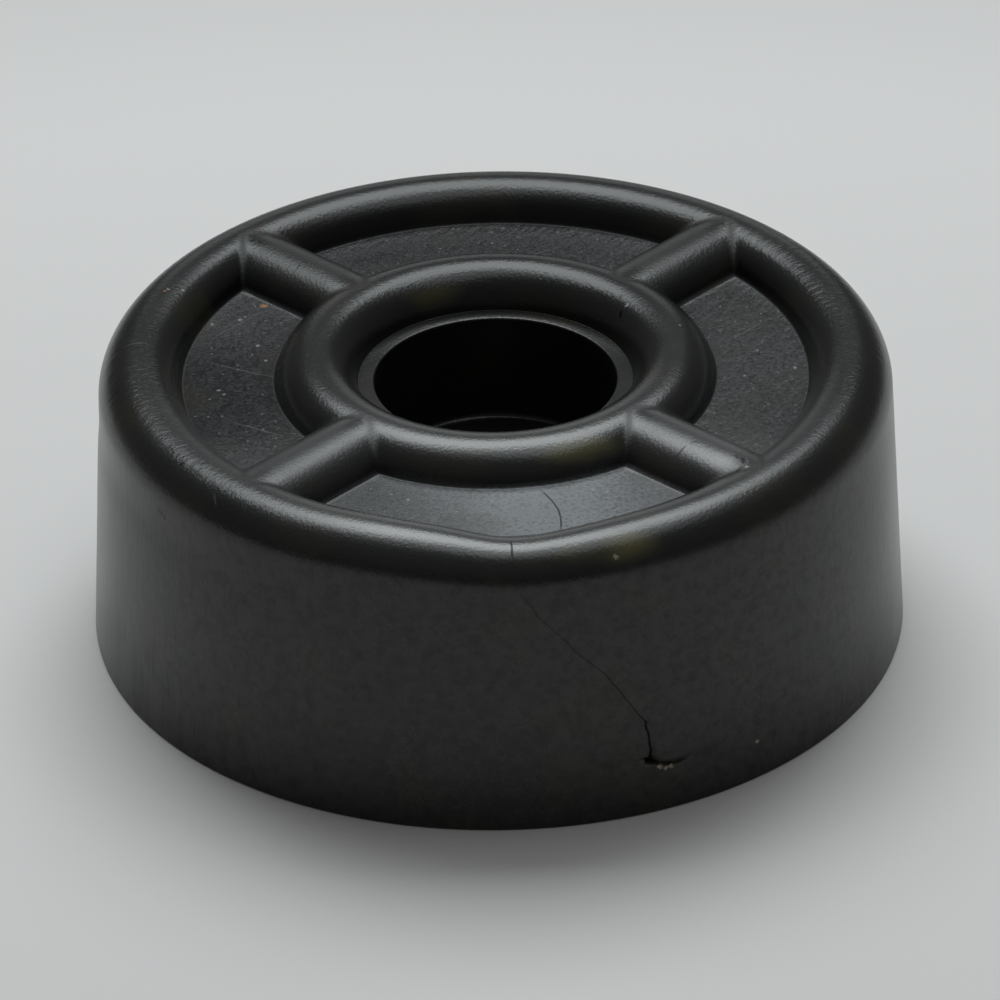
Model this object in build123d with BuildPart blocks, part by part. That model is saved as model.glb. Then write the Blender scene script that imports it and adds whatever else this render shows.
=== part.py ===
from build123d import *
import os
from math import cos, radians, sin, sqrt, tan

# A round moulded rubber foot. Its flat back goes against the case of the thing it carries.
# The other face, upwards here, has two round beads joined by four round ribs.
# A recess in the middle of that face takes the head and washer of the fixing screw.
# The origin is the centre of the flat back, and +Z points to the beaded face.

# The whole foot, in millimetres and degrees
base_diameter = 38.0
foot_height = 14.1
wall_draft = 3.1

# The two beads, round rings that rise from the panels between them
bead_radius = 1.95
bead_rise = 1.54

# The ribs, whose crest lies just below that of the beads
rib_count = 4
rib_width = 4.1
rib_drop = 0.04
rib_turn = 46.5

# The screw recess, the flat ledge around it, and the hole through its floor
recess_diameter = 11.2
recess_depth = 5.5
ledge_width = 0.8
rim_radius = 0.2
floor_corner_radius = 0.5
screw_hole_diameter = 5.0

# The dent across the outer bead: where it is, how deep and long, and how it leans inwards
dent_turn = -86.0
dent_depth = 0.55
dent_length = 11.0
dent_lean = 10.0

# The tear low on the wall, a small crescent that gapes
tear_turn = -65.9
tear_height = 2.75
tear_length = 2.4
tear_sag = 0.45
tear_gape = 0.25
tear_depth = 0.5

# What follows from those sizes
base_radius = base_diameter / 2
recess_radius = recess_diameter / 2
panel_level = foot_height - bead_rise
bead_centre_level = foot_height - bead_radius
bead_half_foot = sqrt(bead_radius**2 - (panel_level - bead_centre_level) ** 2)
inner_bead_circle = recess_radius + ledge_width + bead_half_foot
draft = radians(wall_draft)
outer_bead_circle = base_radius - bead_centre_level * tan(draft) - bead_radius / cos(draft)
wall_top_radius = outer_bead_circle + bead_radius * cos(draft)
wall_top_level = bead_centre_level + bead_radius * sin(draft)
rib_rise = bead_rise - rib_drop
dent_roundness = (dent_length**2 / 4 + dent_depth**2) / (2 * dent_depth)
dent_floor = foot_height - dent_depth
tear_radius = base_radius - tear_height * tan(draft)


def outward_plane(turn, radius, height, lean=0.0):
    """A plane at this turn, radius and height that faces away from the axis, with its x going round the foot."""
    outwards = Vector(cos(radians(turn)), sin(radians(turn)), 0)
    along = Vector(-sin(radians(turn)), cos(radians(turn)), 0)
    faced = outwards * cos(radians(lean)) + Vector(0, 0, sin(radians(lean)))
    return Plane(origin=outwards * radius + Vector(0, 0, height), x_dir=along, z_dir=faced)


with BuildPart() as rubber_foot:
    # Half of the section, turned about the axis: the wall runs smoothly into the outer bead
    with BuildSketch(Plane.XZ):
        with BuildLine():
            wall = Polyline((0, 0), (base_radius, 0), (wall_top_radius, wall_top_level))
            outer_bead = ThreePointArc(
                wall @ 1,
                (outer_bead_circle, foot_height),
                (outer_bead_circle - bead_half_foot, panel_level),
            )
            panel = Line(outer_bead @ 1, (inner_bead_circle + bead_half_foot, panel_level))
            inner_bead = ThreePointArc(
                panel @ 1,
                (inner_bead_circle, foot_height),
                (inner_bead_circle - bead_half_foot, panel_level),
            )
            Polyline(inner_bead @ 1, (0, panel_level), (0, 0))
        make_face()
    revolve(axis=Axis.Z)

    # Each rib runs from the crest of the inner bead to the crest of the outer one
    for number in range(rib_count):
        turn = rib_turn + number * 360 / rib_count
        with BuildSketch(outward_plane(turn, inner_bead_circle, panel_level)):
            with BuildLine():
                crown = ThreePointArc((-rib_width / 2, 0), (0, rib_rise), (rib_width / 2, 0))
                Polyline(crown @ 1, (rib_width / 2, -bead_rise), (-rib_width / 2, -bead_rise), crown @ 0)
            make_face()
        extrude(amount=outer_bead_circle - inner_bead_circle)

    # The screw goes through the floor, and its head and washer sit in the recess
    with Locations((0, 0, panel_level)):
        CounterBoreHole(screw_hole_diameter / 2, recess_radius, recess_depth)
    circles = rubber_foot.edges().filter_by(GeomType.CIRCLE)
    recess_edges = circles.filter_by(lambda edge: abs(edge.radius - recess_radius) < 0.001).sort_by(Axis.Z)
    fillet(recess_edges[-1], radius=rim_radius)
    circles = rubber_foot.edges().filter_by(GeomType.CIRCLE)
    recess_edges = circles.filter_by(lambda edge: abs(edge.radius - recess_radius) < 0.001).sort_by(Axis.Z)
    fillet(recess_edges[0], radius=floor_corner_radius)

    # The dent is what a large round bar would press into the outer bead
    with BuildSketch(outward_plane(dent_turn, outer_bead_circle, dent_floor, dent_lean)):
        with Locations((0, dent_roundness)):
            Circle(dent_roundness)
    extrude(amount=bead_radius * 1.2, both=True, mode=Mode.SUBTRACT)

    # The tear sags in the middle, and its upper edge lies above its lower one
    with BuildSketch(outward_plane(tear_turn, tear_radius, tear_height)):
        with BuildLine():
            lower = ThreePointArc((-tear_length / 2, 0), (0, -tear_sag), (tear_length / 2, 0))
            ThreePointArc(lower @ 1, (0, tear_gape - tear_sag), lower @ 0)
        make_face()
    extrude(amount=tear_depth, both=True, mode=Mode.SUBTRACT)

rubber_foot.part.label = "rubber_foot"
os.makedirs("parts", exist_ok=True)
export_step(rubber_foot.part, "parts/rubber_foot.step")
print("rubber_foot volume in cubic millimetres:", round(rubber_foot.part.volume, 1))
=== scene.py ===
# %% [markdown]
# # A worn rubber foot, built as one surface
# A rubber foot for a piece of equipment: a short drafted cylinder, moulded in one piece of black rubber.
# Its flat back goes against the case. The face that shows here stands on the bench when the foot is in use.
# On that face two round beads are joined by four round ribs, around a recess for the fixing screw.
# This notebook loads the measured model, dresses it with one finer surface, and gives it old black rubber.

import bpy
import numpy as np
from mathutils import Matrix, Vector


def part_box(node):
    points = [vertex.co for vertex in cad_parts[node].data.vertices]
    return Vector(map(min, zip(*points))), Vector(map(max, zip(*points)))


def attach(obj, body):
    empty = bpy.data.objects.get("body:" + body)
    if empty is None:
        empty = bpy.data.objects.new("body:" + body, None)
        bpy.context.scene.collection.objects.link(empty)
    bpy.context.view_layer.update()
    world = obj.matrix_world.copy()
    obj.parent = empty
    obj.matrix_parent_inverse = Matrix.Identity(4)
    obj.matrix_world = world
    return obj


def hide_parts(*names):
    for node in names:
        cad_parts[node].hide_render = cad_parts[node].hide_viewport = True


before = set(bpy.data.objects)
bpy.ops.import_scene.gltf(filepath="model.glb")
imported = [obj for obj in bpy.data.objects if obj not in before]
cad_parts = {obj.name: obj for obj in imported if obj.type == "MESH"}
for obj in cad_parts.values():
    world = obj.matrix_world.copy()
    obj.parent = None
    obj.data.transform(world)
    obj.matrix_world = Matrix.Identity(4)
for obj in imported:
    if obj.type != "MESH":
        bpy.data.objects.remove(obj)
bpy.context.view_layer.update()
low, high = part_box("rubber_foot")
MM = 0.001
base_radius = (high.x - low.x) / 2 / MM
foot_height = high.z / MM
print("base radius", round(base_radius, 2), "mm, height", round(foot_height, 2), "mm")

# %% [markdown]
# ## The camera
# The photograph was taken with a long lens from a little above, at 32 degrees over the bench.
# A camera is a frame of three directions: right, up, and back along the view.
# A Track To constraint could give them, but a matrix keeps the small roll of the photograph too.

# %% The camera
elevation = np.radians(32.07)
roll = np.radians(-0.95)
distance = 321.9
aim = np.array([0.12, 0.0, 5.80])
eye = np.array([0.0, -distance * np.cos(elevation), distance * np.sin(elevation)])

back = (eye - aim) / np.linalg.norm(eye - aim)
right = np.cross([0.0, 0.0, 1.0], back)
right /= np.linalg.norm(right)
up = np.cross(back, right)
rolled_right = np.cos(roll) * right + np.sin(roll) * up
rolled_up = np.cos(roll) * up - np.sin(roll) * right

camera_data = bpy.data.cameras.new("camera")
camera_data.sensor_width = 36.0
camera_data.lens = 245.8
camera_data.clip_start = 0.01
camera_data.clip_end = 10.0
camera = bpy.data.objects.new("camera", camera_data)
turned = np.column_stack([rolled_right, rolled_up, back])
camera.matrix_world = Matrix.Translation(eye * MM) @ Matrix(turned.tolist()).to_4x4()
bpy.context.scene.collection.objects.link(camera)
bpy.context.scene.camera = camera
print("camera at", np.round(eye * MM, 4), "lens", camera_data.lens, "mm")

# %% [markdown]
# ## The section
# A turned or moulded round thing is known by its section, so the sizes of the section come first.
# The beads are arcs that meet the flat panels between them in a tiny hollow fillet, as the mould's cutter left it.
# A bead's height is written as a function of the distance from its crest.
# The ribs use that same function, so that beads and ribs can later be joined as one surface.

# %% Sizes of the section, in millimetres
bead_radius = 1.95
bead_rise = 1.54
foot_fillet = 0.1
wall_draft = np.radians(3.1)
ledge_width = 0.8
recess_radius = 5.6
recess_depth = 5.5
rim_radius = 0.1
ledge_drop = 0.18
floor_corner = 0.3
screw_hole_radius = 2.5
edge_radius = 0.1
tolerance = 0.001

panel_level = foot_height - bead_rise
ledge_level = panel_level - ledge_drop
bead_centre = foot_height - bead_radius
bead_drop = bead_radius - bead_rise
fillet_end = np.sqrt((bead_radius + foot_fillet) ** 2 - (bead_drop + foot_fillet) ** 2)
fillet_start = fillet_end * bead_radius / (bead_radius + foot_fillet)
inner_crest = recess_radius + ledge_width + np.sqrt(bead_radius**2 - bead_drop**2)
outer_crest = base_radius - bead_centre * np.tan(wall_draft) - bead_radius / np.cos(wall_draft)
print("panels at", round(panel_level, 2), "crests at", round(inner_crest, 2), round(outer_crest, 2))


def bead_height(distance):
    """The height over the panel at a distance from the crest: an arc, then the hollow fillet, then nothing."""
    on_arc = np.sqrt(np.maximum(bead_radius**2 - distance**2, 0)) - bead_drop
    left = np.clip(fillet_end - distance, 0, foot_fillet)
    on_fillet = foot_fillet - np.sqrt(foot_fillet**2 - left**2)
    return np.where(distance < fillet_start, on_arc, on_fillet)


# %% [markdown]
# The section is one closed loop of points, made of lines and arcs in turn.
# It starts at the foot of the screw hole, goes out along the flat back, up the wall and over the beads,
# and comes back down the recess and the hole. A closed loop turned about the axis has no poles and no rims.

# %% The pieces of the loop


def line(start, end, steps):
    """Points at even shares of the way from start to end, without the end."""
    share = np.linspace(0, 1, steps + 1)[:-1, None]
    return (1 - share) * np.array(start) + share * np.array(end)


def arc(centre, radius, start, end, steps):
    """Points at centre plus radius times cosine and sine of evenly spaced angles, without the last."""
    angle = np.radians(np.linspace(start, end, steps + 1)[:-1])
    return np.array(centre) + radius * np.column_stack([np.cos(angle), np.sin(angle)])


def crowded(start, end, steps, middle, width, strength):
    """Positions from start to end that crowd about a middle.

    Their density is one plus strength times a bell, exp(-(distance over width) squared), and its running sum
    is cut into even shares.
    """
    position = np.linspace(start, end, 2001)
    density = 1 + strength * np.exp(-(((position - middle) / width) ** 2))
    total = np.concatenate([[0], np.cumsum(density[1:] + density[:-1])])
    return np.interp(np.linspace(0, total[-1], steps + 1), total, position)


def bead_side(steps, fillet_steps):
    """Distances from the crest down one side of a bead, even in angle along its arc and then its fillet."""
    slope = np.arcsin(fillet_start / bead_radius)
    on_arc = bead_radius * np.sin(np.linspace(0, slope, steps + 1))
    on_fillet = fillet_end - foot_fillet * np.sin(np.linspace(slope, 0, fillet_steps + 1)[1:])
    return np.concatenate([on_arc, on_fillet])


side = bead_side(steps=14, fillet_steps=4)
down_outer = np.column_stack([outer_crest - side, panel_level + bead_height(side)])
up_inner = np.column_stack([inner_crest + side[::-1], panel_level + bead_height(side[::-1])])
print("points down one side of a bead:", len(side))

# %% [markdown]
# The wall's rows crowd about the height of a small tear, which comes later and needs fine rows.
# Where the inner bead meets the ledge round the recess there is a crisp crease. The last degree of the bead
# and the first strip of the ledge get rows of their own, so that smooth shading doesn't round the crease.

# %% The loop of the section
draft_degrees = np.degrees(wall_draft)
floor_level = panel_level - recess_depth
edge_start = base_radius - edge_radius
wall_top_height = bead_centre + bead_radius * np.sin(wall_draft)
wall_top_radius = outer_crest + bead_radius * np.cos(wall_draft)
wall_heights = crowded(edge_radius, wall_top_height, steps=66, middle=3.1, width=1.2, strength=9)
wall = np.column_stack([base_radius - wall_heights * np.tan(wall_draft), wall_heights])

crease_angle, crease_width = 1, 0.03
ledge_angle = 180 - np.degrees(np.arcsin((ledge_level - bead_centre) / bead_radius))
ledge_start = inner_crest + bead_radius * np.cos(np.radians(ledge_angle))
ledge_next = ledge_start - crease_width
ledge_end = recess_radius + rim_radius
corner_start = recess_radius - floor_corner
section = np.concatenate([
    line([screw_hole_radius, 0], [edge_start, 0], 8),
    arc([edge_start, edge_radius], edge_radius, -90, draft_degrees, 4),
    wall[:-1],
    arc([outer_crest, bead_centre], bead_radius, draft_degrees, 90, 18),
    down_outer[:-1],
    line(down_outer[-1], up_inner[0], 6),
    up_inner[:-1],
    arc([inner_crest, bead_centre], bead_radius, 90, ledge_angle - crease_angle, 17),
    arc([inner_crest, bead_centre], bead_radius, ledge_angle - crease_angle, ledge_angle, 1),
    line([ledge_start, ledge_level], [ledge_next, ledge_level], 1),
    line([ledge_next, ledge_level], [ledge_end, ledge_level], 2),
    arc([ledge_end, ledge_level - rim_radius], rim_radius, 90, 180, 4),
    line([recess_radius, ledge_level - rim_radius], [recess_radius, floor_level + floor_corner], 7),
    arc([corner_start, floor_level + floor_corner], floor_corner, 0, -90, 4),
    line([corner_start, floor_level], [screw_hole_radius, floor_level], 5),
    line([screw_hole_radius, floor_level], [screw_hole_radius, 0], 5),
])
print("points in the section:", len(section))

# %% [markdown]
# ## The lines that run round the foot
# The grid's other direction is the turn about the axis. Plain spokes would cut the ribs' straight sides at a slant,
# and a slanted grid shows as saw teeth along a crisp foot. So in the ribbed zone the lines are bent:
# a fixed number of them runs along each rib, and the rest share the panel between two ribs.
# The panel at the front has more lines than the others, and they crowd about the turn of the tear.

# %% The turning lines
rib_count = 4
rib_turn = np.radians(46.5)
rib_half_width = 2.2
rib_steps = 28
rib_slope = 70
panel_steps = [90, 90, 150, 90]
front_panel = 2
tear_turn = np.radians(-67.4)
crowd_reach, crowd_strength = np.radians(4), 4


def rib_offsets():
    """Sideways distances across a rib from foot to foot, even in the angle of its round crown."""
    angle = np.radians(np.linspace(-rib_slope, rib_slope, rib_steps + 1))
    return rib_half_width * np.sin(angle) / np.sin(angle[-1])


def panel_shares(number, gap_start, gap_end):
    """Shares of the way across a panel, even but for the front one, where they crowd about the tear."""
    strength = crowd_strength if number == front_panel else 0
    turns = crowded(gap_start, gap_end, panel_steps[number], tear_turn + 2 * np.pi, crowd_reach, strength)
    return (turns[1:-1] - gap_start) / (gap_end - gap_start)


def turning_lines(radius):
    """Turn and sideways rib distance of each line at each radius, as two arrays of rows by lines.

    On a rib the turn is the rib's own turn plus the arcsine of the distance over the radius.
    Between two ribs it goes evenly from one foot to the next, and the distance is taken as past the foot.
    """
    reach = np.clip(radius, inner_crest, outer_crest)[:, None]
    offsets = rib_offsets()[None, :]
    half = np.arcsin(rib_half_width / reach)
    turns, distances = [], []
    for number in range(rib_count):
        middle = rib_turn + number * 2 * np.pi / rib_count
        turns.append(middle + np.arcsin(offsets / reach))
        distances.append(np.abs(offsets) + 0 * reach)
        share = panel_shares(number, middle + half[0, 0], middle + np.pi * 2 / rib_count - half[0, 0])[None, :]
        gap = 2 * np.pi / rib_count - 2 * half
        turns.append(middle + half + gap * share)
        from_rib = np.minimum(gap * share, gap * (1 - share)) + half
        distances.append(reach * np.sin(np.minimum(from_rib, np.pi / 2)))
    return np.concatenate(turns, axis=1), np.concatenate(distances, axis=1)


turn, rib_distance = turning_lines(section[:, 0])
print("grid of", turn.shape[0], "by", turn.shape[1], "points")

# %% [markdown]
# ## Joining beads and ribs
# Where a rib meets a bead, the higher of the two surfaces could be kept, which leaves a knife-sharp valley.
# The real foot has a soft valley there. A smooth minimum of the two distances from the crests rounds it.
# The height is then the bead's own height function of that joint distance.

# %% The top surface
rib_drop = 0.04
valley = 0.2


def smooth_minimum(a, b, width):
    """The smaller of a and b, less a quarter of width times the square of how nearly they agree within width."""
    agreement = np.maximum(width - np.abs(a - b), 0) / width
    return np.minimum(a, b) - agreement**2 * width / 4


def top_height(radius, across):
    """The height over the panel where a point is at this radius, and this far across from a rib's middle line."""
    from_bead = np.minimum(np.abs(radius - outer_crest), np.abs(radius - inner_crest))
    crown = np.sqrt(2 * bead_radius * rib_drop)
    squeeze = np.sqrt(fillet_end**2 - crown**2) / rib_half_width
    from_rib = np.hypot(across * squeeze, crown)
    return bead_height(np.maximum(smooth_minimum(from_bead, from_rib, valley), 0))


radius = np.repeat(section[:, :1], turn.shape[1], axis=1)
height = np.repeat(section[:, 1:], turn.shape[1], axis=1)
between_crests = (radius > inner_crest) & (radius < outer_crest) & (height > panel_level - tolerance)
height = np.where(between_crests, panel_level + top_height(radius, rib_distance), height)
print("highest point", round(height.max(), 3), "mm")

# %% [markdown]
# ## The dent
# Something heavy once pressed the outer bead down at the front. The print is steep on its left side
# and runs out slowly to the right, and it is deeper on the inner side of the bead than on the outer side.
# The rubber beside it, on the left, has swelled a little.

# %% The dent in the outer bead
dent_depth, dent_turn = 0.62, np.radians(-87.0)
dent_left, dent_right = np.radians(9.5), np.radians(12.2)
dent_end, dent_fade = np.radians(70), np.radians(30)
outer_share = 0.32
lean_start, lean_width, lean_limit, lean_power = 1.81, 2.71, 1.2, 1.6
inner_fade, outer_fade, panel_fade = (-2.6, -0.8), (-1.4, 0.8), 0.7
bulge_height, bulge_turn, bulge_width = 0.07, np.radians(-111.0), np.radians(8.0)


def turn_from(turn, origin):
    """The turn from origin, between minus and plus half a turn."""
    return (turn - origin + np.pi) % (2 * np.pi) - np.pi


def bell(distance, width):
    """exp(-(distance over width) squared)."""
    return np.exp(-((distance / width) ** 2))


def eased(value, start, end):
    """0 at start, 1 at end, flat beyond both, and three t squared less two t cubed of the share t between them.

    Start may lie above end, and the curve then falls as the value grows.
    """
    share = np.clip((value - start) / (end - start), 0, 1)
    return share**2 * (3 - 2 * share)


def dent(radius, height, turn):
    """How far the dent lowers a point.

    Round the foot it is a bell on the left of its deepest turn and a slower one over one plus square on the right.
    Across the bead it grows towards the inside, and it fades out at the panel and down the wall.
    """
    away = turn_from(turn, dent_turn)
    print_shape = np.where(away < 0, bell(away, dent_left), 1 / (1 + (away / dent_right) ** 2))
    print_shape = print_shape * np.clip((dent_end - np.abs(away)) / dent_fade, 0, 1)
    inwards = (lean_start - (radius - outer_crest)) / lean_width
    lean = outer_share + (1 - outer_share) * np.clip(inwards, 0, lean_limit) ** lean_power
    inside = np.clip((height - panel_level) / panel_fade, 0, 1) * eased(radius - outer_crest, *inner_fade)
    fade = np.where(radius < outer_crest, inside, eased(height - bead_centre, *outer_fade))
    bulge = bulge_height * bell(turn_from(turn, bulge_turn), bulge_width)
    return (dent_depth * print_shape * lean - bulge) * fade


plain_radius, plain_height = radius.copy(), height.copy()
on_outer_bead = (radius > inner_crest) & (height > bead_centre - 1.5)
height = height - np.where(on_outer_bead, dent(radius, height, turn), 0)
print("the dent is", round(float((plain_height - height).max()), 2), "mm deep")

# %% [markdown]
# ## The tear and the crack
# Low on the wall the rubber has torn. The cut runs like a smile, and the rubber over it stands a little proud.
# A crack leaves its left corner and climbs the wall: open at first, then only a hair, up to the dent.
# The grid's rows and lines crowd here, so the pit, the flap and the open part of the crack are real shape.
# The wall is also drawn in a little under the bead on the left, where the rubber has shrunk.

# %% The tear
pit_depth = 0.3
lip_turns = np.radians([-70.4, -69.0, -68.5, -67.2, -65.5, -63.7, -61.8, -60.2])
lip_heights = [2.84, 2.7, 2.54, 2.4, 2.34, 2.43, 2.7, 2.95]
gape_opens, gape_closes = np.radians([-70.5, -69.9]), np.radians([-66.0, -62.8])
thin_gape, corner_gape = 0.02, 0.12
lip_outside, lip_inside = 0.04, 0.015
corner_turn, corner_width = np.radians(-69.4), np.radians(0.65)


def above_lips(turn, height):
    """How far a point of the wall lies above the line of the lips, which runs straight between eight given points."""
    return height - np.interp(turn_from(turn, 0), lip_turns, lip_heights)


def tear_pit(turn, height):
    """1 in the pit of the tear, 0 outside: a band about the line of the lips, widest at its left corner."""
    away = turn_from(turn, 0)
    opening = eased(away, *gape_opens) * (1 - eased(away, *gape_closes))
    half_gape = thin_gape + corner_gape * bell(away - corner_turn, corner_width)
    return opening * eased(np.abs(above_lips(turn, height)), half_gape + lip_outside, half_gape - lip_inside)


print("the tear runs", round(float(np.ptp(lip_turns)) * base_radius, 1), "mm round the wall")

# %% The crack and the flap
crack_turns = np.radians(
    [-69.1, -69.3, -69.54, -69.64, -69.92, -70.64, -72.1, -73.5, -76.25, -79.0, -81.7, -84.4, -87.2]
)
crack_heights = [2.7, 3.24, 4.04, 4.71, 4.84, 5.05, 5.79, 6.65, 7.84, 8.73, 9.75, 10.79, 12.15]
crack_depth, crack_width = 0.15, 0.08
crack_starts, crack_closes = [2.5, 2.8], [4.6, 4.95]
flap_height, flap_reach = 0.05, 1.3
flap_turn, flap_width = np.radians(-69), np.radians(4)


def from_crack(turn, height):
    """The signed distance round the wall from the crack, in millimetres.

    It is the turn from the crack's turn at this height, times the base radius, plus two small sines of the height.
    """
    waver = 0.04 * np.sin(3.1 * height) + 0.025 * np.sin(7.1 * height + 1)
    return turn_from(turn, np.interp(height, crack_heights, crack_turns)) * base_radius + waver


def open_crack(turn, height):
    """1 in the middle of the open part of the crack, falling as a narrow bell to its sides."""
    opening = eased(height, *crack_starts) * (1 - eased(height, *crack_closes))
    return bell(from_crack(turn, height), crack_width) * opening


def flap(turn, height):
    """How far the rubber over the tear, to the right of the crack, stands proud of the wall.

    It is a bell of the turn times a bell of the height over the lips, eased in from the crack and from the lips.
    """
    right_of_crack = eased(turn_from(turn, crack_turns[0]), 0, np.radians(0.3))
    beside = right_of_crack * bell(turn_from(turn, 0) - flap_turn, flap_width)
    above = above_lips(turn, height)
    return flap_height * beside * eased(above, 0.1, 0.2) * bell(above, flap_reach)


print("the crack climbs from", crack_heights[0], "to", crack_heights[-1], "mm")

# %% All of them in the wall
waist_depth, waist_height, waist_width = 0.05, 10.8, 0.9
waist = waist_depth * bell(height - waist_height, waist_width) * np.clip(-np.cos(turn), 0, 1)
on_outer_wall = (radius > wall_top_radius - tolerance) & (height > edge_radius)
pit = tear_pit(turn, height) * on_outer_wall
sunk = pit_depth * pit - flap(turn, height) + crack_depth * open_crack(turn, height) + waist
radius = radius - np.where(on_outer_wall, sunk, 0)
print("the wall's deepest place, where the crack meets the tear:", round(float(sunk.max()), 2), "mm")

# %% [markdown]
# ## From arrays to a mesh
# The arrays are rolled into a closed grid: the last row joins the first, and the last line joins the first.
# The faces are written as one array of corner numbers, and their order makes them face outwards.

# %% The mesh
points = np.stack([radius * np.cos(turn), radius * np.sin(turn), height], axis=-1) * MM


def closed_grid(name, points):
    """A mesh of four-cornered faces over rows and lines of points, closed in both directions."""
    rows, lines = points.shape[:2]
    number = np.arange(rows * lines).reshape(rows, lines)
    below = np.roll(number, -1, axis=0)
    corners = np.stack([number, np.roll(number, -1, axis=1), np.roll(below, -1, axis=1), below], axis=-1)
    mesh = bpy.data.meshes.new(name)
    mesh.vertices.add(rows * lines)
    mesh.vertices.foreach_set("co", points.astype(np.float32).ravel())
    mesh.loops.add(corners.size)
    mesh.loops.foreach_set("vertex_index", corners.astype(np.int32).ravel())
    mesh.polygons.add(rows * lines)
    mesh.polygons.foreach_set("loop_start", np.arange(0, corners.size, 4, dtype=np.int32))
    mesh.update(calc_edges=True)
    mesh.validate()
    mesh.polygons.foreach_set("use_smooth", np.ones(rows * lines, dtype=bool))
    return mesh


mesh = closed_grid("foot_surface", points)
foot = bpy.data.objects.new("foot_surface", mesh)
bpy.context.scene.collection.objects.link(foot)
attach(foot, "root")
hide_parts("rubber_foot")
print("triangles", 2 * len(mesh.polygons))

# %% [markdown]
# ## Values kept on the points
# A material could ask each place where it lies on the foot, with sums and roots, but the grid knows it already.
# So each point keeps a few numbers, and the material reads them evenly mixed across each face.
# Each number is a product of soft windows: a window is 0 on one side of a border, 1 on the other, and eased between.
# The borders are taken on the plain surface, before the dent and the tear, and are in millimetres.
# A window whose first border is the larger one falls. The panels' middles lie about 12 mm from the axis.

# %% Where the parts of the foot are
plain_x, plain_y = plain_radius * np.cos(turn), plain_radius * np.sin(turn)
above_panel = plain_height - panel_level
above_centre = plain_height - bead_centre
past_outer = plain_radius - outer_crest
on_panel = between_crests * eased(above_panel, 0.12, 0.02)
on_slopes = between_crests * (1 - on_panel)
on_bead_top = eased(above_panel, 0.2, 0.8)
on_wall = (plain_radius > outer_crest) * eased(above_centre, 1.2, 0.2)
on_crown = eased(past_outer, -1.4, -0.6) * eased(above_centre, 0, 0.9)
from_bead = np.minimum(np.abs(past_outer), np.abs(plain_radius - inner_crest))
in_valley = on_slopes * eased(np.abs(from_bead - rib_distance), 0.4, 0.0)
on_rib = on_slopes * eased(rib_distance, 2.3, 1.9) * eased(from_bead, 1.2, 2.0)
on_fillet = between_crests * eased(above_panel, 0.0, 0.005) * eased(above_panel, 0.3, 0.1)
inset = np.minimum(from_bead - fillet_end, rib_distance - rib_half_width)

panel_reach = 12
frontness = eased(-plain_y, 0, panel_reach)
leftness = np.clip(-plain_x / panel_reach, 0, 1)
far_left = np.clip((-plain_x - 5) / 7, 0, 1)
rightness = np.clip(plain_x / panel_reach, 0, 1) * eased(past_outer, -2, -1)
print("points on the panels:", int((on_panel > 0.5).sum()), "and on the wall:", int((on_wall > 0.5).sum()))

# %% [markdown]
# A crack is thinner than one face. But the signed distance from it changes evenly across it, so the grid can carry it:
# the material draws a thin line where the distance passes through zero. There are three such cracks, far apart,
# so one distance serves them all: up the wall, across the front panel, and over the dented bead.
# The distance is kept as a share of the crack's half width, and a second number says how strongly the crack shows.

# %% The three cracks
crack_narrows, wide_half, narrow_half = 4.85, 0.07, 0.05
wall_half_width = np.where(plain_height < crack_narrows, wide_half, narrow_half)
panel_half_width, bead_half_width = 0.05, 0.055
panel_radii = [10.0, 10.88, 11.55, 12.28, 13.15, 13.99, 14.6]
panel_turns = np.radians([-80.0, -78.7, -77.8, -77.3, -77.6, -78.4, -79.3])
bead_crack_turn = np.radians(-88.0)
from_wall_crack = from_crack(turn, plain_height) / wall_half_width
from_bead_crack = turn_from(turn, bead_crack_turn) * plain_radius / bead_half_width
from_panel_crack = turn_from(turn, np.interp(plain_radius, panel_radii, panel_turns)) * plain_radius / panel_half_width
crack_distance = np.where(on_wall > 0, from_wall_crack, from_bead_crack)
crack_distance = np.where(on_panel > 0, from_panel_crack, crack_distance)

strength_heights = [4.6, 5.1, 9, 11.8, 12.3]
strengths = [0.85, 0.5, 0.45, 0.35, 0]
on_panel_crack = on_panel * eased(plain_radius, 10.4, 10.9) * eased(plain_radius, 14.5, 14.2)
on_bead_crack = on_crown * eased(plain_radius, 16.5, 16.8) * eased(plain_radius, 17.85, 17.3)
on_wall_crack = on_wall * eased(plain_height, 2.5, 2.7) * np.interp(plain_height, strength_heights, strengths)
at_front = plain_y < -6
crack_strength = (0.8 * on_panel_crack + 0.8 * on_bead_crack + on_wall_crack) * at_front
print("the strongest crack:", round(float(crack_strength.max()), 2))

# %% [markdown]
# Wear isn't even. The front has been handled and shines, and the left of the bead is wrinkled from being pushed about.
# The middle of the front panel gets a pale colour that is a painted sheen, and the wall is darkened on its left and
# low down: scuffs, and painted shade.
# How matt the rubber is in each place is a sum of such shares. It is added to the roughness later.
# The marks of the tool that cut the mould show best on the far right, where the light grazes them.

# %% How worn each place is
# A pale colour at the middle of the front panel, with a trace of it on the right, is a painted sheen. The same share
# also thickens the coat there.
painted_sheen = on_panel * (frontness * bell(plain_x - 2, 4.8) + 0.05 * (1 - frontness) * eased(plain_x, 4, 9))
bead_shine = on_bead_top * (1 - 0.9 * far_left - 0.75 * rightness)
panel_shine = on_panel * (0.25 - 0.1 * leftness + 0.6 * painted_sheen)
shine = frontness * (bead_shine + panel_shine)

near_side, far_side = bell(plain_y + 5, 3), bell(plain_y - 6, 3)
matt = on_panel * (0.03 + 0.16 * frontness - leftness * (0.04 + 0.05 * bell(plain_y + 0.5, 4)))
matt += on_panel * (0.1 * leftness * far_side - 0.08 * np.abs(plain_x) / panel_reach * near_side)
matt += 0.07 * on_bead_top * leftness * eased(-plain_y, 2, 9) + 0.05 * rightness * eased(-plain_y, 4, 8)
matt += 0.07 * on_rib + 0.25 * in_valley + 0.25 * on_fillet * (1 - frontness)

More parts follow.
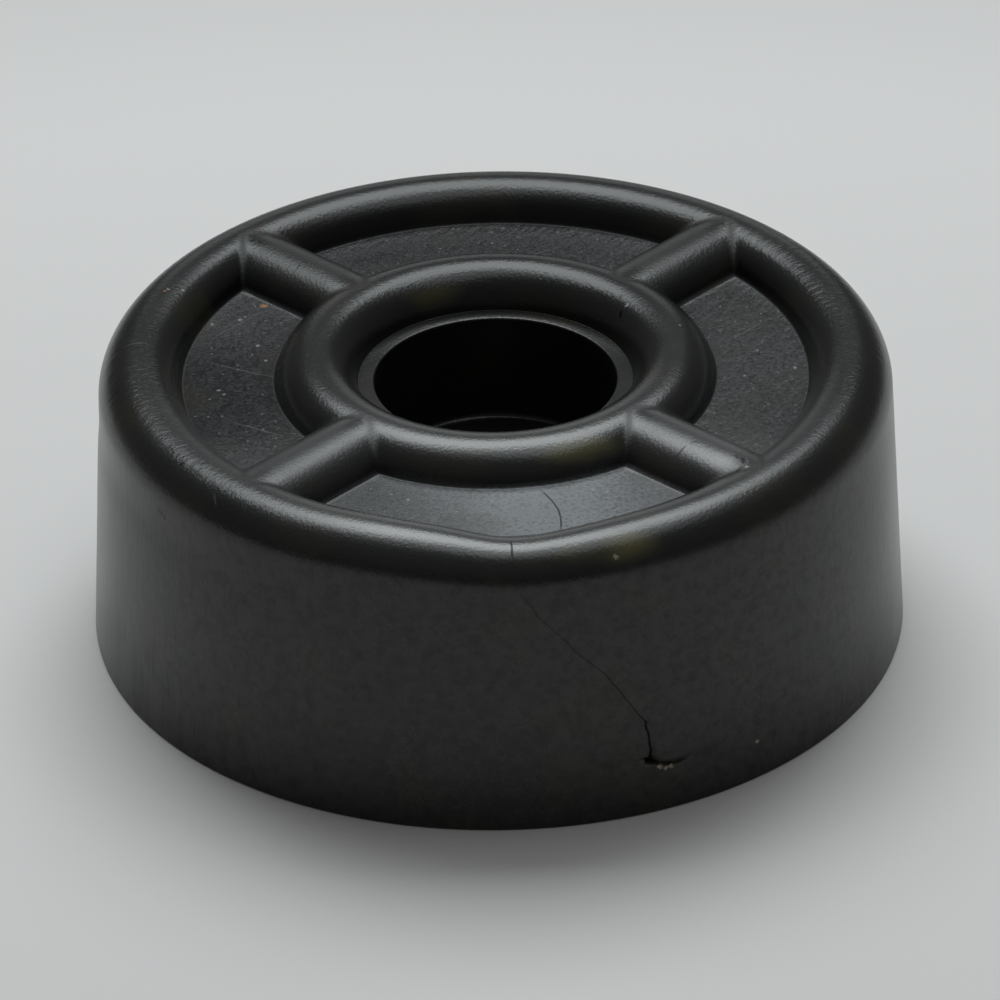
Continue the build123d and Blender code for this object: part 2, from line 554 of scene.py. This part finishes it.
wrinkle_turns = [0, 50, 75, 150, 172, 185, 225, 240, 262, 300, 345, 360]
wrinkle_shares = [0.7, 0.7, 0.15, 0.1, 0.5, 1, 1, 0.6, 0.3, 0.15, 0.5, 0.7]
wrinkles = np.interp(np.degrees(turn) % 360, wrinkle_turns, wrinkle_shares)
wrinkles = wrinkles * on_crown * eased(above_centre, 0.7, 1.6)

# The wall is darkened on its left, more towards the bottom, and low down on both sides: partly scuffs, partly painted
# shade.
scuff_turn, scuff_width = np.radians(191), np.radians(13)
left_scuff_and_shade = bell(turn_from(turn, scuff_turn), scuff_width) * (0.15 + 0.75 * eased(plain_height, 9, 3))
wall_scuff_and_shade = on_wall * (left_scuff_and_shade + 0.25 * np.cos(turn) ** 2 * eased(plain_height, 5, 1))

tool_turn = np.radians(40)
tooled = on_panel * np.clip(0.55 + 0.5 * np.cos(turn - tool_turn), 0.12, 1)
# Low on the flanks of beads and ribs, away from the front, the colour is darkened: this is painted shade.
painted_flank_shade = on_slopes * (1 - frontness) * eased(1.2 - above_panel, 0, 0.5)
print("roughness is raised by up to", round(float(matt.max()), 2))

# %% [markdown]
# One more coordinate runs round the foot, for streaks that climb the wall and wrinkles that cross the beads.
# It goes fast round the axis and slowly up or across, so that noise read from it is drawn out into streaks.

# %% Keep the values
streak_radius, streak_climb, streak_cross = 17, 0.12, 0.5
# The soft valleys where ribs meet beads are darkened: painted shade.
valley_shade = 0.4
# Near its edges a panel's kept value is lowered, so less dust colour shows there: painted shade along the feet of
# beads and ribs.
rim_shade, rim_width = 0.4, 0.6
round_place = np.stack([
    streak_radius * np.cos(turn),
    streak_radius * np.sin(turn),
    streak_climb * plain_height - streak_cross * plain_radius,
], axis=-1)


def keep(name, values):
    """Keep one number, or a vector of three, on every point of the mesh."""
    kind, slot = ("FLOAT_VECTOR", "vector") if values.ndim == 3 else ("FLOAT", "value")
    attribute = mesh.attributes.new(name, kind, "POINT")
    attribute.data.foreach_set(slot, values.astype(np.float32).ravel())


kept_values = {
    "crack_distance": crack_distance,
    "crack_strength": crack_strength,
    # The pit of the tear and the valleys between ribs and beads are kept for a near-black that is painted shade.
    "pit": np.maximum(pit, valley_shade * in_valley),
    # The panel's value falls towards its edges: painted shade at the feet of beads and ribs.
    "panel": on_panel * (1 - rim_shade + rim_shade * eased(inset, 0, rim_width)),
    "wall": on_wall,
    "wrinkles": wrinkles,
    "shine": shine,
    "painted_sheen": painted_sheen,
    "tooled": tooled,
    "matt": matt,
    "painted_flank_shade": painted_flank_shade,
    "wall_scuff_and_shade": wall_scuff_and_shade,
    "round_place": round_place,
}
for name, values in kept_values.items():
    keep(name, values)
print("values kept on each point:", ", ".join(kept_values))

# %% [markdown]
# ## A small language for materials
# A material is a graph of nodes. Drawn by hand it is hard to read, so one class wraps a socket of a node
# and lets sums and products be written as they are in algebra. Each adds a Math node.
# Every other kind of node comes from one method, `node`, which sets the node's settings first, then its sockets.

# %% The class for sockets


class Field:
    """A value that varies over a surface: one socket in a material's node tree."""

    def __init__(self, tree, socket=None):
        self.tree = tree
        self.socket = socket

    def node(self, kind, settings, sockets, output=0):
        """Add a node of this kind, give it its settings and then its sockets' values or links, and wrap an output."""
        made = self.tree.nodes.new(kind)
        for name, value in settings.items():
            setattr(made, name, value)
        for name, value in sockets.items():
            if isinstance(value, Field):
                self.tree.links.new(value.socket, made.inputs[name])
            else:
                made.inputs[name].default_value = value
        return Field(self.tree, made.outputs[output])

    def math(self, operation, first, second=0.0):
        """A Math node on one or two values."""
        return self.node("ShaderNodeMath", {"operation": operation}, {0: first, 1: second})

    # Sums, differences and products, with a number or another field on either side.
    def __add__(self, other):
        return self.math("ADD", self, other)

    def __sub__(self, other):
        return self.math("SUBTRACT", self, other)

    def __rsub__(self, other):
        return self.math("SUBTRACT", other, self)

    def __mul__(self, other):
        return self.math("MULTIPLY", self, other)

    def __abs__(self):
        return self.math("ABSOLUTE", self)

    __radd__ = __add__
    __rmul__ = __mul__

    def larger(self, other):
        """The larger of two values."""
        return self.math("MAXIMUM", self, other)

    def smaller(self, other):
        """The smaller of two values."""
        return self.math("MINIMUM", self, other)

    def rise(self, start, end):
        """0 up to start, 1 from end on, and an eased curve between them."""
        limits = {"Value": self, "From Min": start, "From Max": end}
        return self.node("ShaderNodeMapRange", {"interpolation_type": "SMOOTHSTEP"}, limits)

    def fall(self, start, end):
        """1 up to start, 0 from end on."""
        return 1 - self.rise(start, end)

    def parts(self):
        """The x, y and z of a vector."""
        split = self.node("ShaderNodeSeparateXYZ", {}, {0: self})
        return [Field(self.tree, socket) for socket in split.socket.node.outputs]

    def vector(self, operation, other, output=0):
        """A vector made from this one and another, or with output 1 a number."""
        return self.node("ShaderNodeVectorMath", {"operation": operation}, {0: self, 1: other}, output)

    def noise(self, scale, detail=2.0, roughness=0.5, flat=False):
        """Smooth noise about 0.5 at this vector, with scale cells to its unit. Flat noise ignores z."""
        sockets = {"Vector": self, "Scale": scale, "Detail": detail, "Roughness": roughness}
        return self.node("ShaderNodeTexNoise", {"noise_dimensions": "2D" if flat else "3D"}, sockets)

    def blend(self, low, high):
        """The colour low where this value is 0, and high where it is 1."""
        sockets = {"Factor": self, 6: low, 7: high}
        return self.node("ShaderNodeMix", {"data_type": "RGBA"}, sockets, 2)


def combined(x, y, z):
    """A vector from three values."""
    source = next(value for value in (x, y, z) if isinstance(value, Field))
    return source.node("ShaderNodeCombineXYZ", {}, {0: x, 1: y, 2: z})


def paint(name):
    """A new material, with its Principled shader, and a field to start from."""
    material = bpy.data.materials.new(name)
    material.use_nodes = True
    return material, material.node_tree.nodes["Principled BSDF"], Field(material.node_tree)


def feed(shader, values):
    """Give the shader's named sockets a number, a colour or a field."""
    for name, value in values.items():
        if isinstance(value, Field):
            value.tree.links.new(value.socket, shader.inputs[name])
        else:
            shader.inputs[name].default_value = value


print("methods in the class for sockets:", sum(callable(value) for value in vars(Field).values()))

# %% [markdown]
# ## Old black rubber
# Black rubber is nearly black in itself, so what shows is its gloss: the finish of the mould, and all the marks since.
# The whole material is worked out in millimetres, from the place of each point on the foot and its kept values.

# %% Places on the rubber
rubber, shader, start = paint("black_rubber")


def kept(name, output=2):
    """A number kept on the points, or with output 1 a vector."""
    return start.node("ShaderNodeAttribute", {"attribute_name": name}, {}, output)


place = start.node("ShaderNodeTexCoord", {}, {}, 3).vector("MULTIPLY", (1 / MM, 1 / MM, 1 / MM))
panel, wall = kept("panel"), kept("wall")
grain = place.noise(6.5, 1.0, 0.6)
broad = place.noise(0.3, 1.0)
streaks = kept("round_place", 1).noise(3.2, 2.0, 0.6)
crack_line = abs(kept("crack_distance")).fall(0.4, 1.3) * kept("crack_strength")
print("nodes for places:", len(rubber.node_tree.nodes))

# %% [markdown]
# Scratches, dust and stains on the top are drawn as seen from above, and those on the wall as small balls in space.
# A straight mark is an ellipse much longer than it is wide. How far along it and how far across it a place lies are
# both plain sums, a x + b y + c, and such a sum is the product of (a, b, c) with (x, y, 1).
# The place is shaken a little first, so that no mark is quite straight.

# %% Marks seen from above
shake = 0.15
shaken = start.node("ShaderNodeVectorMath", {"operation": "MULTIPLY_ADD"}, {
    0: start.node("ShaderNodeTexNoise", {"noise_dimensions": "2D"}, {"Vector": place, "Scale": 0.9, "Detail": 0.0}, 1),
    1: (shake, shake, 0.0), 2: place,
})
shaken_x, shaken_y, _ = shaken.parts()
seen = combined(shaken_x - shake / 2, shaken_y - shake / 2, 1.0)


def mark(x0, y0, x1, y1, half_width):
    """The squared distance from the middle of a straight mark, as shares of its half length and half width."""
    ends = np.array([[x0, y0], [x1, y1]])
    half_length = np.linalg.norm(ends[1] - ends[0]) / 2
    along = (ends[1] - ends[0]) / (2 * half_length)
    across = np.array([-along[1], along[0]])
    total = 0
    for direction, size in ((along, half_length), (across, half_width)):
        share = seen.vector("DOT_PRODUCT", (*direction / size, -direction @ ends.mean(axis=0) / size), 1)
        total = share * share + total
    return total


def speck(x0, y0, size):
    """The distance from the middle of a small spot, as a share of its size."""
    return seen.vector("DISTANCE", (x0, y0, 1.0), 1) * (1 / size)


def nearest(shapes):
    """The smallest of many distances."""
    smallest = shapes[0]
    for shape in shapes[1:]:
        smallest = smallest.smaller(shape)
    return smallest


def from_points(points):
    """The distance in space, in millimetres, from the nearest of some points."""
    return nearest([place.vector("DISTANCE", point, 1) for point in points])


print("the marks are shaken by up to", shake / 2, "mm")

# %% Scratches, pale and dark, with a few painted highlights and painted shade
scratch_ends = [
    (-13.7, 1.7, -9.5, -0.2, 0.05), (-13.4, 3.6, -10.6, 6.6, 0.05), (-12.4, -3.74, -9.4, -5.37, 0.06),
    (-13.8, -8.0, -11.6, -6.6, 0.05), (-17.3, 0.74, -15.9, 0.87, 0.05), (-12.65, -12.1, -12.5, -12.8, 0.06),
    # The last mark on this line and the first on the next are painted highlights along a wrinkle at the outer end of
    # the near right rib.
    (-1.43, -11.85, -0.3, -12.66, 0.05), (-1.5, -12.9, -0.95, -12.85, 0.07), (11.13, -10.1, 11.2, -10.9, 0.07),
    (11.2, -10.85, 10.85, -11.5, 0.07), (11.0, 3.0, 12.6, 4.6, 0.05), (0.9, 10.9, 3.5, 12.2, 0.05),
]
scratches_and_painted_highlights = nearest([mark(*ends) for ends in scratch_ends]).fall(0.2, 1.0)
dark_ends = [
    (9.18, -8.77, 8.6, -9.0, 0.07), (8.6, -9.0, 8.0, -9.5, 0.07), (10.94, -10.2, 11.0, -10.9, 0.09),
    (11.0, -10.85, 10.62, -11.5, 0.1), (10.68, -9.95, 10.8, -10.45, 0.07), (-10.18, 8.5, -10.2, 8.0, 0.05),
    (-9.3, 7.6, -9.05, 8.3, 0.05), (-9.05, 8.3, -8.7, 8.15, 0.05), (-11.64, 10.45, -11.2, 10.5, 0.06),
    (-11.2, 10.5, -10.92, 10.08, 0.05), (-10.92, 10.08, -10.6, 10.18, 0.05), (-14.05, -9.72, -14.32, -9.95, 0.07),
    # The next two dark marks are painted shade at a small step where the far right rib runs onto the inner bead.
    (-14.75, -8.4, -14.42, -9.05, 0.06), (5.86, 3.95, 5.82, 3.5, 0.09), (5.97, 4.85, 5.85, 4.5, 0.07),
    (-16.9, 0.2, -16.2, 0.5, 0.05),
]
dark_marks = nearest([mark(*ends) for ends in dark_ends]).fall(0.2, 1.0)
print("scratches:", len(scratch_ends), "pale and", len(dark_ends), "dark")

# %% [markdown]
# Dust and rust are small spots. The grain is added to the distance from them, so that no spot is quite round.
# The finest dust comes from the cells of a Voronoi texture: one cell in a few, picked by its colour, gets a speck.

# %% Specks of dust, and two painted glints
white_spots = [
    (-11.9, 5.57, 0.13), (-11.67, 5.84, 0.1), (-13.2, 5.14, 0.12), (-11.01, 3.09, 0.11), (-10.56, 1.68, 0.09),
    (-12.76, -1.01, 0.12), (-12.5, -1.4, 0.1), (-9.93, -4.45, 0.09), (12.19, 1.84, 0.1), (13.88, 0.21, 0.12),
    # (6.15, 4.0) at the end of this line is a painted glint on the step where the far right rib meets the inner bead.
    (11.54, -0.45, 0.1), (8.61, 1.71, 0.09), (-14.58, 5.98, 0.1), (-15.28, 5.88, 0.1), (6.15, 4.0, 0.13),
    # (11.18, -11.05) at the start of this line is a painted glint on the wrinkle at the near right rib's outer end.
    (11.18, -11.05, 0.11), (-4.02, -11.05, 0.12), (-1.86, -12.1, 0.11), (-1.3, -12.65, 0.1), (-4.75, -10.5, 0.08),
    (4.35, -10.35, 0.1), (4.9, -10.6, 0.12), (-0.25, -11.2, 0.09),
]
rust_spots = [(-10.85, 6.77, 0.2), (-15.41, 5.7, 0.09)]
white_near = nearest([speck(*spot) for spot in white_spots])
white_specks_and_glints = (white_near + (grain - 0.5) * 3).fall(0.3, 1.0) * (1 - wall)
rust_near = nearest([speck(*spot) for spot in rust_spots])
rust_specks = (rust_near + (grain - 0.5)).fall(0.5, 1.0) * (1 - wall)
cells = start.node("ShaderNodeTexVoronoi", {"voronoi_dimensions": "2D"}, {"Vector": place, "Scale": 1.6})
chosen = Field(cells.tree, cells.socket.node.outputs["Color"]).parts()[0]
fine_dust = (cells + (grain - 0.5) * 0.1).fall(0.02, 0.12) * chosen.rise(0.6, 1.0) * panel
print("single specks:", len(white_spots) + len(rust_spots))

# %% [markdown]
# The colour is laid on in thin coats, as a painter of models would: the rubber itself, a little dust in its grain,
# then painted shade low on the flanks, a painted sheen on the front panel, brown and olive stains, scratches and
# specks. Each coat is a blend over the last.
# On the panels the grain is mixed with faint straight marks, left by the tool that cut the mould.

# %% The colour
black_rubber, dusty_rubber = (0.0125, 0.0118, 0.011, 1.0), (0.036, 0.037, 0.039, 1.0)
shaded_flank, painted_sheen_colour = (0.004, 0.004, 0.004, 1.0), (0.205, 0.218, 0.225, 1.0)
brown_cast, olive_stain, lip_olive = (0.026, 0.023, 0.011, 1.0), (0.1, 0.09, 0.035, 1.0), (0.03, 0.03, 0.012, 1.0)
scratch_grey, dust_grey, rust = (0.25, 0.25, 0.255, 1.0), (0.36, 0.36, 0.37, 1.0), (0.36, 0.14, 0.06, 1.0)
along_tool, across_tool = (0.88, -0.47, 0.0), (0.47, 0.88, 0.0)

tool_marks = combined(
    place.vector("DOT_PRODUCT", along_tool, 1) * 2.6, place.vector("DOT_PRODUCT", across_tool, 1) * 1.1, 0.0
).noise(1.0, 1.0, 0.6, flat=True)
stain_near = nearest([
    mark(2.8, -17.35, 6.9, -16.4, 0.5), mark(2.2, -9.2, 5.2, -8.1, 0.45), mark(-4.6, 5.4, -1.0, 6.9, 0.5) + 1.0,
])
stain = stain_near.fall(0.0, 2.0) * (1 - wall) * broad.rise(0.25, 0.6)
lip_stain = from_points([(7.85, -17.2, 2.05)]).fall(0.1, 0.6)

# The dust follows the panel's value, so it thins at the panels' edges, which is painted shade.
dust = panel * (tool_marks + grain * 2 - 1) + 0.12 * broad + 0.15 * grain
colour = dust.blend(black_rubber, dusty_rubber)
coats = [
    # A near-black coat low on the flanks is painted shade.
    (kept("painted_flank_shade"), shaded_flank),
    # The pale coat on the front panel is a painted sheen.
    (kept("painted_sheen") * (grain * 2.5 - 0.2), painted_sheen_colour),
    (broad.rise(0.5, 0.7) * 0.4, brown_cast),
    (stain * 0.9, olive_stain),
    (scratches_and_painted_highlights * 0.13, scratch_grey),
    ((fine_dust * 0.5).larger(white_specks_and_glints * 0.8), dust_grey),
    (rust_specks, rust),
    (lip_stain * 0.7, lip_olive),
]
for share, coat_colour in coats:
    colour = share.blend(colour, coat_colour)
print("nodes with the stains and the dust:", len(rubber.node_tree.nodes))

# %% [markdown]
# A crack or a dark scratch is a gap, and almost no light comes back from it. A black colour alone isn't enough,
# because the gloss over it still shines. The trick here is to make such a place a black metal as well:
# a metal's gloss takes the colour of the metal, and a black one gives back next to nothing.
# The pit of the tear and the valleys where ribs meet beads get the same black, as painted shade.
# Dull places on the wall are the same trick at a fraction of its strength, broken up by noise: random mottling,
# scuffs, and painted shade on the left of the wall and low down.
# A few pale crumbs lie on top of all that, some of them on the lower lip of the tear.

# %% Dark gaps, painted shade, dull places and pale crumbs
gap_and_shade_black, cream = (0.002, 0.002, 0.002, 1.0), (0.3, 0.26, 0.17, 1.0)
dark_spots = [(-15.25, -10.24, 11.75), (-15.11, -10.45, 11.71), (-14.97, -10.65, 11.6)]
crumbs = [
    (7.06, -17.5, 2.29), (7.56, -17.3, 2.2), (7.36, -17.38, 2.15), (5.15, -17.23, 13.18), (11.55, -14.96, 1.89),
]
nick = from_points(dark_spots).fall(0.05, 0.15)
# Cracks and dark scratches are gaps; the pit and the valleys in this sum are painted shade.
gap = crack_line.larger(dark_marks * 0.6).larger(kept("pit") * 0.9).larger(nick * 0.8)
mottle = place.noise(1.8, 3.0, 0.75).rise(0.35, 0.75)
scuffs = kept("round_place", 1).noise(1.2, 3.0, 0.75).rise(0.45, 0.62)
# Random mottling, and scuffs with painted shade on the left of the wall and low down.
dull_and_shade = wall * mottle * 0.3 + kept("wall_scuff_and_shade") * scuffs
dark = gap + dull_and_shade * (1 - gap)
colour = dark.blend(colour, gap_and_shade_black)
crumb = (from_points(crumbs) + (grain - 0.5) * 0.3).fall(0.04, 0.16)
colour = crumb.blend(colour, cream)
print("pale crumbs:", len(crumbs))

# %% [markdown]
# The relief is a height in millimetres, and its Distance brings it to metres: a fine grain, deeper where the rubber
# shines, wrinkles across the bead, streaks up the wall, tool marks on the panels, and the hair cracks.
# All of it is far too fine for the mesh, and the larger forms above are all in the mesh.

# %% The relief, in millimetres
relief = (
    grain * (0.012 + kept("shine") * 0.007 - wall * 0.006)
    + streaks * kept("wrinkles") * 0.03
    + streaks * wall * 0.008
    + kept("tooled") * tool_marks * 0.03
    - crack_line * 0.01
)
bump = start.node("ShaderNodeBump", {}, {"Strength": 1.0, "Distance": MM, "Height": relief})
print("nodes with the relief:", len(rubber.node_tree.nodes))

# %% [markdown]
# The gloss is a roughness with the wear added to it. Where the rubber has been handled it also gets a thin coat,
# softer than the rubber's own gloss, which lights the crests without sharpening them.

# %% The gloss, and the finished rubber
base_roughness, coat_roughness = 0.26, 0.3
roughness = base_roughness + kept("matt") + (broad - 0.5) * 0.06 + (grain - 0.5) * panel * 0.2
roughness = roughness + scratches_and_painted_highlights * 0.1 + fine_dust * 0.3
feed(shader, {
    "Base Color": colour,
    "Roughness": roughness,
    "Metallic": dark * (1 - crumb),
    "Normal": bump,
    "Coat Weight": kept("shine") * (1 - dark),
    "Coat Roughness": coat_roughness,
})
mesh.materials.append(rubber)
print("rubber nodes:", len(rubber.node_tree.nodes))

# %% [markdown]
# ## The table
# The foot lies on a pale, matt table. Black rubber is a dim mirror, and low on its wall the table is what it mirrors.
# In the photograph the reflections grow darker with distance, so the table is given a dimmer colour far out,
# beyond what the camera sees.

# %% The table
floor_reach = 1.5
pale_table, dim_table = (0.94, 0.91, 0.895, 1.0), (0.28, 0.27, 0.265, 1.0)
dim_middle, dim_starts, dim_ends = (0.0, -0.1, 0.0), 0.145, 0.23
floor_corners = [(x * floor_reach, y * floor_reach, 0) for x, y in ((-1, -1), (1, -1), (1, 1), (-1, 1))]
floor_data = bpy.data.meshes.new("floor")
floor_data.from_pydata(floor_corners, [], [(0, 1, 2, 3)])
floor = bpy.data.objects.new("floor", floor_data)
bpy.context.scene.collection.objects.link(floor)
floor_paint, floor_shader, floor_start = paint("table_paint")
floor_place = floor_start.node("ShaderNodeTexCoord", {}, {}, 3)
far_out = floor_place.vector("DISTANCE", dim_middle, 1).rise(dim_starts, dim_ends)
feed(floor_shader, {"Base Color": far_out.blend(pale_table, dim_table), "Roughness": 0.8})
floor_data.materials.append(floor_paint)
print("the table is", 2 * floor_reach, "m across and grows dimmer from", dim_starts, "m out")

# %% [markdown]
# ## The lights
# One large soft light stands behind and above the foot, and a weaker one overhead.
# A low, weak one stands far behind and lights the far rim. Little light comes from the camera's side,
# which is why the near side of each bead has a dark band.
# An area light gives soft shadows, and what it adds to a glossy black thing is its own reflection.

# %% The lights
cool_white = (0.94, 1.0, 1.02)


def softbox(name, azimuth, height_angle, reach, width, depth, radiance):
    """A rectangular light that faces the foot, placed by its turn about the axis, angle over the table and reach.

    Its power is pi times its area times its radiance.
    """
    data = bpy.data.lights.new(name, "AREA")
    data.shape = "RECTANGLE"
    data.size, data.size_y = width, depth
    data.energy = np.pi * width * depth * radiance
    data.color = cool_white
    light = bpy.data.objects.new(name, data)
    angle, rise = np.radians(azimuth), np.radians(height_angle)
    towards = np.array([np.cos(rise) * np.cos(angle), np.cos(rise) * np.sin(angle), np.sin(rise)])
    facing = Vector(towards).to_track_quat("Z", "Y").to_matrix().to_4x4()
    light.matrix_world = Matrix.Translation(towards * reach) @ facing
    bpy.context.scene.collection.objects.link(light)
    print(name, "gives", round(data.energy, 3), "W")


softbox("key_light", azimuth=94, height_angle=60.5, reach=0.45, width=0.38, depth=0.25, radiance=3.9)
softbox("top_light", azimuth=60, height_angle=82, reach=0.6, width=0.5, depth=0.32, radiance=1.0)
softbox("back_light", azimuth=90, height_angle=13, reach=0.6, width=0.3, depth=0.2, radiance=0.42)

room_light = 0.07
world = bpy.data.worlds.new("studio")
world.use_nodes = True
bpy.context.scene.world = world
background = world.node_tree.nodes["Background"]
background.inputs["Color"].default_value = (1.0, 1.0, 1.0, 1.0)
background.inputs["Strength"].default_value = room_light
bpy.context.scene.view_settings.view_transform = "Standard"

# %% [markdown] ## Finish
